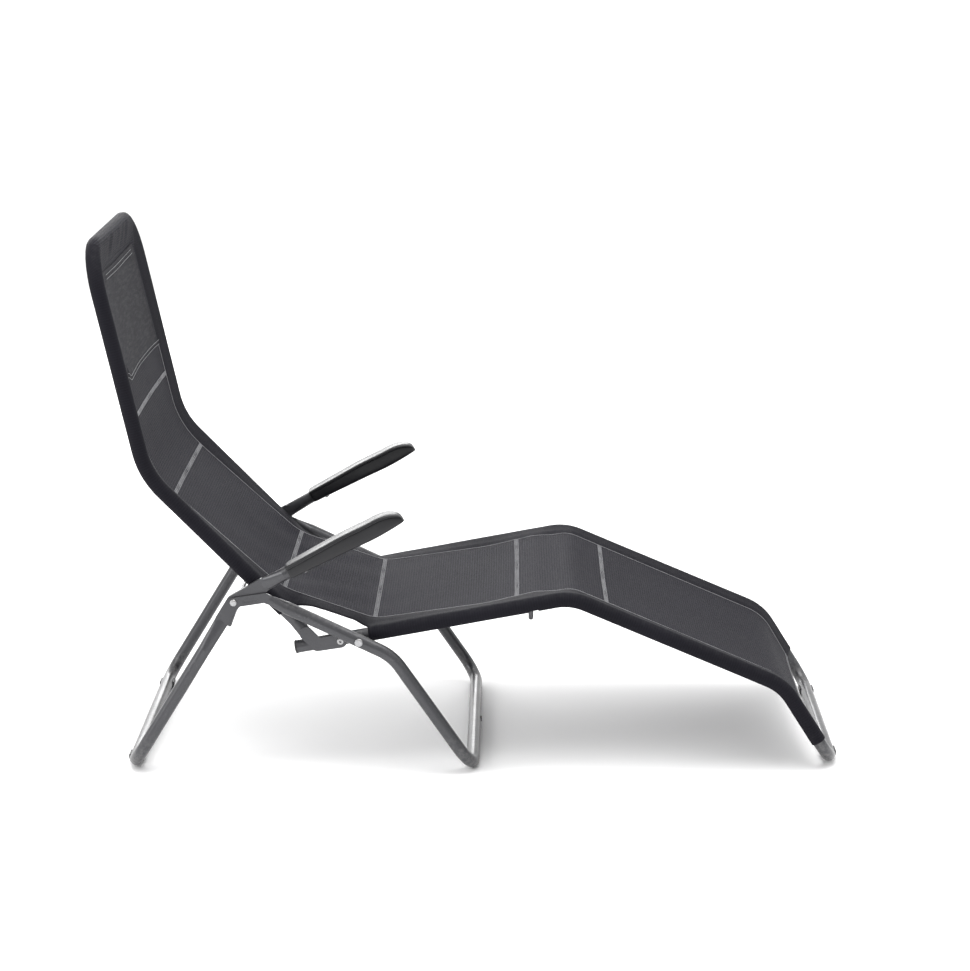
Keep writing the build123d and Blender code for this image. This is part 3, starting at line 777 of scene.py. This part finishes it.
def sling_mesh(shape):
    """Vertices, faces and UVs of the whole sling, as one sheet."""
    rows = shape.rows()
    width = 2 * HALF_COLUMNS + 1
    vertices, uvs, faces = [], [], []
    for s in rows:
        for column in range(width):
            y = shape.half(s) * (column / HALF_COLUMNS - 1)
            vertices.append(shape.surface(s, y))
            uvs.append((y, s))
    for row in range(len(rows) - 1):
        for column in range(width - 1):
            first = row * width + column
            faces.append((first, first + width, first + width + 1, first + 1))
    rings = []
    for row, column, angle in loop_stations(shape, rows):
        s = rows[row]
        root = row * width + column
        y = vertices[root][1]
        gap = shape.leg_start < s < shape.back_start
        if gap:
            points = flap_ring(shape, s, y, vertices[root])
        else:
            points = sleeve_ring(shape, s, y, angle, vertices[root])
            points = soften(points, s, y, angle, 1.0 + angle)
        ring, run = [root], 0.0
        for index in range(1, len(points)):
            run += float(np.linalg.norm(points[index] - points[index - 1]))
            ring.append(len(vertices))
            vertices.append(points[index])
            uvs.append((uvs[root][0] - run * math.cos(angle), uvs[root][1] + run * math.sin(angle)))
        rings.append((ring, gap, s))
    for (first, gap_a, s_a), (second, gap_b, s_b) in zip(rings, rings[1:]):
        for part in range(STRAIGHT_PARTS if gap_a or gap_b else RING_PARTS):
            if knee_slit(shape, (s_a + s_b) / 2, part):
                continue
            faces.append((first[part], first[part + 1], second[part + 1], second[part]))
    return vertices, faces, uvs


class LOUNGER_OT_sling(bpy.types.Operator):
    """Stretch the mesh sling over the rails, with its sleeves, head pocket and foot hem"""
    bl_idname = "lounger.sling"
    bl_label = "Sling"

    def execute(self, context):
        settings = context.scene.lounger_sling
        shape = SlingShape(settings)
        sling = new_piece("sling", *sling_mesh(shape))
        drop_loose(sling)
        thick = sling.modifiers.new("cloth thickness", "SOLIDIFY")
        thick.thickness = settings.thickness
        thick.offset = 0.0
        settle(sling)
        sling.data.materials.append(sling_cloth(settings))
        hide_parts("back_sling", "leg_sling", "seat_sling")
        blend_sewn(sling)
        return {"FINISHED"}


def blend_sewn(piece):
    """Bake the piece's placement into its mesh."""
    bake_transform(piece)


# ------------------------------------------------------------------ stitching
def stitch_tree():
    """Stitches at even steps along a line, lying on the cloth; every other one slants the other way."""
    tree = bpy.data.node_groups.new("stitch row", "GeometryNodeTree")
    sockets = (("Spacing", "NodeSocketFloat", 0.002), ("Length", "NodeSocketFloat", 0.002),
               ("Thickness", "NodeSocketFloat", 0.001), ("Slant", "NodeSocketFloat", 0.0),
               ("Unevenness", "NodeSocketFloat", 0.06), ("Thread", "NodeSocketMaterial", None))
    tree.interface.new_socket("Geometry", in_out="INPUT", socket_type="NodeSocketGeometry")
    for label, kind, default in sockets:
        socket = tree.interface.new_socket(label, in_out="INPUT", socket_type=kind)
        if default is not None:
            socket.default_value = default
    tree.interface.new_socket("Geometry", in_out="OUTPUT", socket_type="NodeSocketGeometry")
    given = tree.nodes.new("NodeGroupInput")
    curve = add_node(tree, "GeometryNodeMeshToCurve", {"Mesh": given.outputs["Geometry"]})
    places = add_node(tree, "GeometryNodeCurveToPoints", {
        "Curve": curve.outputs[0], "Length": given.outputs["Spacing"]}, mode="LENGTH")
    lie = add_node(tree, "GeometryNodeInputNamedAttribute", {"Name": "lie"}, data_type="FLOAT_VECTOR")
    upright = add_node(tree, "FunctionNodeAlignRotationToVector", {
        "Vector": lie.outputs["Attribute"]}, axis="Z")
    along = add_node(tree, "FunctionNodeAlignRotationToVector", {
        "Rotation": upright.outputs[0], "Vector": places.outputs["Tangent"]}, axis="X", pivot_axis="Z")
    number = add_node(tree, "GeometryNodeInputIndex").outputs[0]
    odd = calc(tree, "MODULO", number, 2.0)
    sign = calc(tree, "MULTIPLY_ADD", odd, -2.0, 1.0)
    wander = add_node(tree, "FunctionNodeRandomValue", {"Min": -1.0, "Max": 1.0, "Seed": 7})
    angle = calc(tree, "MULTIPLY_ADD", sign, given.outputs["Slant"],
                 calc(tree, "MULTIPLY", wander.outputs[1], given.outputs["Unevenness"]))
    turn = add_node(tree, "FunctionNodeAxisAngleToRotation", {"Axis": (0, 0, 1), "Angle": angle})
    turned = add_node(tree, "FunctionNodeRotateRotation", {
        "Rotation": along.outputs[0], "Rotate By": turn.outputs[0]}, rotation_space="LOCAL")
    blob = add_node(tree, "GeometryNodeMeshUVSphere", {"Segments": 6, "Rings": 4, "Radius": 0.5})
    size = add_node(tree, "ShaderNodeCombineXYZ", {
        0: given.outputs["Length"], 1: given.outputs["Thickness"], 2: given.outputs["Thickness"]})
    stitch = add_node(tree, "GeometryNodeTransform", {
        "Geometry": blob.outputs["Mesh"], "Scale": size.outputs[0]})
    placed = add_node(tree, "GeometryNodeInstanceOnPoints", {
        "Points": places.outputs["Points"], "Instance": stitch.outputs[0], "Rotation": turned.outputs[0]})
    real = add_node(tree, "GeometryNodeRealizeInstances", {"Geometry": placed.outputs[0]})
    made = add_node(tree, "GeometryNodeSetMaterial", {
        "Geometry": real.outputs[0], "Material": given.outputs["Thread"]})
    result = tree.nodes.new("NodeGroupOutput")
    tree.links.new(made.outputs[0], result.inputs["Geometry"])
    return tree


def run_tree(piece, tree, **values):
    """Run a geometry tree on a piece with its named inputs, and keep the plain mesh."""
    modifier = piece.modifiers.new(tree.name, "NODES")
    modifier.node_group = tree
    for socket in tree.interface.items_tree:
        if socket.item_type == "SOCKET" and socket.in_out == "INPUT" and socket.name in values:
            modifier[socket.identifier] = values[socket.name]
    return settle(piece)


def thread_lines(name, lines):
    """Edges that stitches follow: each line is a list of (point, upright) pairs."""
    mesh = bpy.data.meshes.new(name)
    points, uprights, edges = [], [], []
    for line in lines:
        first = len(points)
        points += [tuple(p) for p, _ in line]
        uprights += [tuple(n) for _, n in line]
        edges += [(i, i + 1) for i in range(first, len(points) - 1)]
    mesh.from_pydata(points, edges, [])
    attribute = mesh.attributes.new("lie", "FLOAT_VECTOR", "POINT")
    attribute.data.foreach_set("vector", np.array(uprights, float).ravel())
    piece = bpy.data.objects.new(name, mesh)
    bpy.context.scene.collection.objects.link(piece)
    return piece


def stitched(name, lines, spacing, length, slant, settings):
    """A stitched piece: zigzag when the stitches slant, running stitch when they don't."""
    tree = bpy.data.node_groups.get("stitch row") or stitch_tree()
    thread = bpy.data.materials.get("sewing thread") or sewing_thread(settings)
    piece = thread_lines(name, lines)
    return run_tree(piece, tree, Spacing=spacing, Length=length, Thickness=settings.thread, Slant=slant,
                    Thread=thread)


def across_line(shape, s, height, bow=None, margin=0.001):
    """A line of stitches from one long seam to the other."""
    half = shape.half(s) - margin
    line = []
    for y in np.linspace(-half, half, 90):
        place = s + (bow(y) if bow else 0.0)
        line.append((shape.surface(place, y, height), shape.normal(place)))
    return line


def side_seam(shape, side, end, height):
    """The long seam of one side, from the foot hem to a distance along the sling."""
    line = []
    for s in shape.rows():
        if s <= end:
            line.append((shape.surface(s, side * shape.half(s), height), shape.normal(s)))
    return line


def double_band(shape, s, height, width):
    """The two edges of a broad seam across the sling."""
    return [across_line(shape, s + offset, height) for offset in (-width / 2, width / 2)]


class LOUNGER_OT_sling_stitching(bpy.types.Operator):
    """Sew the broad bands across the sling, the foot hem and the long seams beside the rails"""
    bl_idname = "lounger.sling_stitching"
    bl_label = "Sling stitching"

    def execute(self, context):
        scene = context.scene
        sling, settings = scene.lounger_sling, scene.lounger_stitch
        shape = SlingShape(sling)
        height = sling.thickness / 2 + settings.thread * 0.3
        seams = shape.cross_seams()
        edges = [line for s in seams for line in double_band(shape, s, height, settings.band_width)]
        filling = [across_line(shape, s, height - 0.0002) for s in seams]
        low, _ = pad_limits(shape, scene.lounger_pad)
        sides = [side_seam(shape, side, low, height) for side in (-1, 1)]
        hem = [across_line(shape, s, height) for s in HEM_ROWS]
        for name, lines, width, pitch in (
                ("cross_seam_edge_stitching", edges, 0.0016, settings.pitch),
                ("cross_seam_stitching", filling, settings.band_width * 0.9, settings.pitch * 1.5),
                ("long_seam_stitching", sides, settings.edge_width, settings.pitch),
                ("hem_stitching", hem, 0.0014, settings.pitch * 1.25)):
            slant = math.atan2(width, pitch)
            piece = stitched(name, lines, pitch, math.hypot(width, pitch), slant, settings)
            blend_sewn(piece)
        return {"FINISHED"}


# ------------------------------------------------------------------ headrest pad
PAD_ACROSS, PAD_UP = 64, 36
PAD_FRAMES = 20
PAD_FILLED = 0.92                      # share of the pad's height below its upper rows of stitches
PAD_BOW = 0.0045                       # how far the pad's edges and rows of stitches bow out
ROW_HALF = 0.205                       # half the width over which a row bows
HOOK_FROM, HOOK_OVER, HOOK_RISE = 0.17, 0.035, 0.012


def pad_limits(shape, settings):
    """Distances along the sling of the pad's lower and upper edges."""
    neck = np.array(NECK)
    low = shape.line.nearest(neck + HEAD_UP * settings.low)
    return low, shape.line.length - 0.004


def pad_point(shape, settings, across, up, height):
    """A point of the pad: across runs from -1 to 1, up from 0 to 1."""
    low, high = pad_limits(shape, settings)
    bow = PAD_BOW * (1 - across ** 2) * (2 * up - 1)
    s = low + (high - low) * up - bow
    waist = 1 - 0.018 * math.sin(math.pi * up) ** 0.7
    y = across * min(settings.half_width * waist, shape.half(min(s, shape.line.length)) - 0.003)
    return shape.surface(s, y, shape.settings.thickness / 2 + 0.0006 + height), (y, s)


def pad_mesh(shape, settings):
    """A thin closed pillow blank: a front and a back that meet at the edge."""
    vertices, uvs, faces = [], [], []
    index = {}
    for layer in (0, 1):
        for i in range(PAD_UP + 1):
            for j in range(PAD_ACROSS + 1):
                edge = i in (0, PAD_UP) or j in (0, PAD_ACROSS)
                if layer == 1 and edge:
                    index[1, i, j] = index[0, i, j]
                    continue
                across, up = 2 * j / PAD_ACROSS - 1, i / PAD_UP
                full = min(1.0, up / PAD_FILLED)
                crown = (1 - abs(across) ** 6) * (1 - abs(2 * full - 1) ** 4)
                height = 0.0012 if edge else layer * settings.loft * crown + 0.0008 * layer
                point, uv = pad_point(shape, settings, across, up, height)
                index[layer, i, j] = len(vertices)
                vertices.append(point)
                uvs.append(uv)
    for layer in (0, 1):
        for i in range(PAD_UP):
            for j in range(PAD_ACROSS):
                face = [index[layer, i, j], index[layer, i + 1, j], index[layer, i + 1, j + 1],
                        index[layer, i, j + 1]]
                faces.append(tuple(face if layer else face[::-1]))
    held = {index[0, i, j] for i in range(PAD_UP + 1) for j in range(PAD_ACROSS + 1)}
    flange = [i for i in range(PAD_UP + 1) if i / PAD_UP >= PAD_FILLED]
    held |= {index[1, i, j] for i in flange for j in range(PAD_ACROSS + 1)}
    held = sorted(held)
    return vertices, faces, uvs, held


def swell(pad, held, settings):
    """Blow the pad up with cloth pressure, its edge and its back held, and cap the movement."""
    scene = bpy.context.scene
    group = pad.vertex_groups.new(name="held")
    group.add(held, 1.0, "REPLACE")
    cloth = pad.modifiers.new("filling", "CLOTH")
    cloth.settings.vertex_group_mass = "held"
    cloth.settings.quality = 5
    cloth.settings.mass = 0.2
    cloth.settings.tension_stiffness = 18
    cloth.settings.compression_stiffness = 18
    cloth.settings.shear_stiffness = 6
    cloth.settings.bending_stiffness = 0.4
    cloth.settings.use_pressure = True
    cloth.settings.uniform_pressure_force = settings.pressure
    cloth.settings.shrink_min = -0.035
    cloth.settings.effector_weights.gravity = 0.0
    cloth.collision_settings.use_collision = False
    cloth.point_cache.frame_start = 1
    cloth.point_cache.frame_end = PAD_FRAMES
    before = np.array([v.co for v in pad.data.vertices])
    for number in range(1, PAD_FRAMES + 1):
        scene.frame_set(number)
    settle(pad)
    scene.frame_set(1)
    after = np.array([v.co for v in pad.data.vertices])
    move = after - before
    length = np.linalg.norm(move, axis=1)
    limit = settings.most * np.tanh(length / settings.most)
    move *= (limit / np.maximum(length, 1e-9))[:, None]
    pad.data.vertices.foreach_set("co", (before + move).ravel())
    pad.vertex_groups.clear()


class LOUNGER_OT_headrest(bpy.types.Operator):
    """Make the headrest pad and let its filling swell"""
    bl_idname = "lounger.headrest"
    bl_label = "Headrest pad"

    def execute(self, context):
        scene = context.scene
        settings = scene.lounger_pad
        shape = SlingShape(scene.lounger_sling)
        vertices, faces, uvs, held = pad_mesh(shape, settings)
        pad = new_piece("headrest_pad", vertices, faces, uvs)
        swell(pad, held, settings)
        finer = pad.modifiers.new("finer", "SUBSURF")
        finer.levels = finer.render_levels = 1
        settle(pad)
        pad.data.materials.append(pad_cloth(settings))
        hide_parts("headrest_pillow")
        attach(pad, "back")
        return {"FINISHED"}


class LOUNGER_OT_headrest_stitching(bpy.types.Operator):
    """Sew the two double seams that hold the headrest pad"""
    bl_idname = "lounger.headrest_stitching"
    bl_label = "Headrest stitching"

    def execute(self, context):
        scene = context.scene
        pad, settings = scene.lounger_pad, scene.lounger_stitch
        shape = SlingShape(scene.lounger_sling)
        low, high = pad_limits(shape, pad)
        cloth = scene.lounger_sling.thickness / 2
        lines = []
        for place, turn, margin, rise in (
                (low + 0.001, 1, 0.004, 0.0026), (low + 0.009, 1, 0.004, 0.0040),
                (high - 0.018, -1, 0.040, 0.0030), (high - 0.010, -1, 0.040, 0.0026)):
            def bow(y, turn=turn):
                hook = HOOK_RISE * smooth((-y - HOOK_FROM) / HOOK_OVER) if turn > 0 else 0.0
                return turn * PAD_BOW * (1 - (y / ROW_HALF) ** 2) + hook

            lines.append(across_line(shape, place, cloth + rise, bow, margin))
        stitch = 0.0034
        piece = stitched("headrest_stitching", lines, stitch + 0.0010, stitch, 0.0, settings)
        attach(piece, "back")
        return {"FINISHED"}


# ------------------------------------------------------------------ armrests
FULL_HALF = 0.0238                     # half width for which the section's roundings are drawn
NOSE = 0.052                           # length of the rounded nose
DROOP, KEEL, DIP = -0.0205, -0.0208, 0.0035
MOUTH_START, LIP = -0.0112, 0.0042
MOUTH_SHARE, RECESS_SHARE, RECESS_DEPTH = 0.84, 0.80, 0.010


def armrest_section(half, low, top, lip):
    """Half of a section, from the middle of the underside to the middle of the top."""
    scale = half / FULL_HALF
    body = half - 0.0012 * scale - lip
    height = top - low
    foot, cap = min(0.0065, height * 0.25), min(0.0070, height * 0.3)
    return [
        (0.0, low), (body * 0.55, low), (body - 0.0055 * scale, low + 0.0003),
        (body - 0.0016 * scale, low + foot * 0.3), (body, low + foot), (body + 0.0002, low + height * 0.5),
        (body, top - cap - 0.0012), (body - 0.0008, top - cap - 0.0004), (body - 0.0008, top - cap + 0.0006),
        (half - 0.0004, top - cap + 0.0010), (half, top - cap * 0.55),
        (half - 0.0010 * scale, top - cap * 0.18), (half - 0.0042 * scale, top + 0.0002),
        (half * 0.5, top + 0.0011), (0.0, top + 0.0014)]


def armrest_stations(settings):
    """(distance along the arm, half width, low, top, lip) from the mouth to the drooping tip."""
    nose = settings.end - NOSE
    stations = []
    for share in np.linspace(0, 1, 20):
        place = settings.start + (nose - settings.start) * share
        fall = DIP * smooth((share - 0.6) / 0.4)
        low = MOUTH_START + (KEEL - MOUTH_START) * smooth(share * 0.85 + 0.15)
        half = settings.half_width - 0.0016 * (1 - smooth(share * 3))
        lip = LIP * smooth((share - 0.55) / 0.45)
        stations.append((place, half, low - fall * 0.8, settings.top - fall, lip))
    for angle in np.linspace(0, math.pi / 2, 10)[1:]:
        out, close = math.sin(angle), math.cos(angle)
        half = max(0.0006, settings.half_width * close ** 0.62)
        low = DROOP - 0.0012 + (KEEL - DIP * 0.8 + 0.0012 - DROOP) * close ** 0.75
        top = DROOP + 0.0020 + (settings.top - DIP - DROOP - 0.0020) * close ** 0.85
        stations.append((nose + NOSE * out, half, low, top, LIP * close + 0.0035 * close * out))
    return stations


def armrest_mesh(settings, side):
    """Rings from the mouth that takes the tube to the round tip, closed at both ends."""
    along = np.array([math.cos(ARM_ANGLE), math.sin(ARM_ANGLE)])
    above = np.array([-along[1], along[0]])
    rings = []
    for place, half, low, top, lip in armrest_stations(settings):
        outline = armrest_section(half, low, top, lip)
        outline = outline + [(-x, z) for x, z in outline[-2:0:-1]]
        rings.append([(place, x, z) for x, z in outline])
    first = rings[0]
    centre = sum(z for _, _, z in first) / len(first)
    mouth = [(place, x * MOUTH_SHARE, centre + (z - centre) * MOUTH_SHARE) for place, x, z in first]
    deep = [(place + RECESS_DEPTH, x * RECESS_SHARE, centre + (z - centre) * RECESS_SHARE)
            for place, x, z in first]
    rings = [deep, mouth, *rings]
    vertices = []
    for ring in rings:
        for place, x, z in ring:
            flat = np.array(LEG_PIVOT) + along * place + above * z
            vertices.append((flat[0], side * (ARMREST_MIDDLE_Y + x), flat[1]))
    count = len(rings[0])
    faces = []
    for ring in range(len(rings) - 1):
        for i in range(count):
            j = (i + 1) % count
            faces.append((ring * count + i, ring * count + j, (ring + 1) * count + j, (ring + 1) * count + i))
    faces.append(tuple(range(count)))
    faces.append(tuple(range((len(rings) - 1) * count, len(rings) * count)))
    return vertices, faces


class LOUNGER_OT_armrests(bpy.types.Operator):
    """Mould the two armrests round the arm tubes"""
    bl_idname = "lounger.armrests"
    bl_label = "Armrests"

    def execute(self, context):
        settings = context.scene.lounger_armrest
        material = moulded_plastic("armrest plastic", tuple(settings.colour), 1300.0, 0.30)
        for name, side in (("right", -1), ("left", 1)):
            piece = new_piece(f"armrest_shell_{name}", *armrest_mesh(settings, side))
            facing_out(piece)
            rounding = piece.modifiers.new("rounding", "SUBSURF")
            rounding.levels = rounding.render_levels = 2
            settle(piece)
            piece.data.materials.append(material)
            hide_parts(f"armrest_{name}")
            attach(piece, "rear_leg")
        return {"FINISHED"}


# ------------------------------------------------------------------ finish of the CAD nodes
class LOUNGER_OT_frame_finish(bpy.types.Operator):
    """Coat the tubes, plate the bolts and colour the plastic caps and shoes"""
    bl_idname = "lounger.frame_finish"
    bl_label = "Frame finish"

    def execute(self, context):
        settings = context.scene.lounger_finish
        plastic = tuple(settings.plastic)
        finishes = {
            "frame_steel": powder_coat(settings),
            "bolt_steel": zinc_plate(settings),
            "black_plastic": moulded_plastic("black plastic", plastic, 900.0, 0.45),
            "armrest_plastic": moulded_plastic("spare armrest plastic", plastic, 1300.0, 0.4),
        }
        slots = {part["node"]: part["material_slot"] for part in frame["record"]["subparts"]}
        for name, node in frame["nodes"].items():
            finish = finishes.get(slots[name])
            if finish is None:
                continue
            node.data.materials.clear()
            node.data.materials.append(finish)
        return {"FINISHED"}


# ------------------------------------------------------------------ stage
def soft_light(name, place, target, size, power):
    """A square soft box aimed at a point."""
    light = bpy.data.lights.new(name, "AREA")
    light.shape = "RECTANGLE"
    light.size, light.size_y = size
    light.energy = power
    lamp = bpy.data.objects.new(name, light)
    lamp.location = place
    lamp.rotation_euler = (Vector(target) - Vector(place)).to_track_quat("-Z", "Y").to_euler()
    lamp.visible_camera = False
    bpy.context.scene.collection.objects.link(lamp)


def soft_room():
    """White surroundings, brighter above and behind than in front."""
    world = bpy.data.worlds.new("soft white room")
    world.use_nodes = True
    tree = world.node_tree
    toward = add_node(tree, "ShaderNodeSeparateXYZ", {
        0: add_node(tree, "ShaderNodeTexCoord").outputs["Generated"]})
    behind = ranged(tree, toward.outputs[1], -0.6, 0.7, 0.62, 1.12)
    above = ranged(tree, toward.outputs[2], 0.0, 1.0, 0.0, 0.45)
    light = tree.nodes["Background"]
    light.inputs["Color"].default_value = (1, 1, 1, 1)
    tree.links.new(calc(tree, "ADD", behind, above), light.inputs["Strength"])
    return world


class LOUNGER_OT_stage(bpy.types.Operator):
    """Set the floor, the soft lights, the world and the camera"""
    bl_idname = "lounger.stage"
    bl_label = "Stage"

    def execute(self, context):
        scene = context.scene
        settings = scene.lounger_stage
        reach = 120.0
        corners = [(-reach, -reach, 0), (reach, -reach, 0), (reach, reach, 0), (-reach, reach, 0)]
        floor = new_piece("floor", corners, [(0, 1, 2, 3)], smooth_faces=False)
        floor.data.materials.append(floor_paint(settings))
        scene.world = soft_room()
        scene.view_settings.view_transform = "Standard"
        target = (0.0, 0.0, 0.45)
        soft_light("overhead soft box", (0.2, -0.4, 3.6), target, (3.6, 2.0), 90)
        soft_light("left soft box", (-3.2, -1.6, 1.8), target, (1.2, 2.4), 45)
        soft_light("rear soft box", (-1.6, 4.6, 2.2), target, (4.6, 1.5), 150)
        camera = bpy.data.cameras.new("camera")
        camera.lens = settings.lens
        camera.sensor_width = 36.0
        camera.dof.use_dof = False
        holder = bpy.data.objects.new("camera", camera)
        holder.location = settings.camera
        holder.rotation_euler = (math.pi / 2 - settings.pitch, 0.0, settings.heading)
        scene.collection.objects.link(holder)
        scene.camera = holder
        return {"FINISHED"}


# ------------------------------------------------------------------ add-on
OPERATORS = (LOUNGER_OT_frame_finish, LOUNGER_OT_sling, LOUNGER_OT_sling_stitching, LOUNGER_OT_headrest,
             LOUNGER_OT_headrest_stitching, LOUNGER_OT_armrests, LOUNGER_OT_stage)
SETTINGS = {"lounger_sling": SlingSettings, "lounger_stitch": StitchSettings, "lounger_pad": PadSettings,
            "lounger_armrest": ArmrestSettings, "lounger_finish": FinishSettings,
            "lounger_stage": StageSettings}


class LOUNGER_PT_panel(bpy.types.Panel):
    """Lists the pieces and the stage"""
    bl_idname = "LOUNGER_PT_panel"
    bl_label = "Sun lounger"
    bl_space_type = "VIEW_3D"
    bl_region_type = "UI"
    bl_category = "Lounger"

    def draw(self, context):
        for operator in OPERATORS:
            self.layout.operator(operator.bl_idname)


def register():
    for group in SETTINGS.values():
        bpy.utils.register_class(group)
    for name, group in SETTINGS.items():
        setattr(bpy.types.Scene, name, PointerProperty(type=group))
    for operator in OPERATORS:
        bpy.utils.register_class(operator)
    bpy.utils.register_class(LOUNGER_PT_panel)


def unregister():
    bpy.utils.unregister_class(LOUNGER_PT_panel)
    for operator in reversed(OPERATORS):
        bpy.utils.unregister_class(operator)
    for name, group in SETTINGS.items():
        delattr(bpy.types.Scene, name)
        bpy.utils.unregister_class(group)


def main():
    register()
    bpy.ops.lounger.frame_finish()
    bpy.ops.lounger.sling()
    bpy.ops.lounger.sling_stitching()
    bpy.ops.lounger.headrest()
    bpy.ops.lounger.headrest_stitching()
    bpy.ops.lounger.armrests()
    bpy.ops.lounger.stage()


if __name__ == "__main__":
    main()
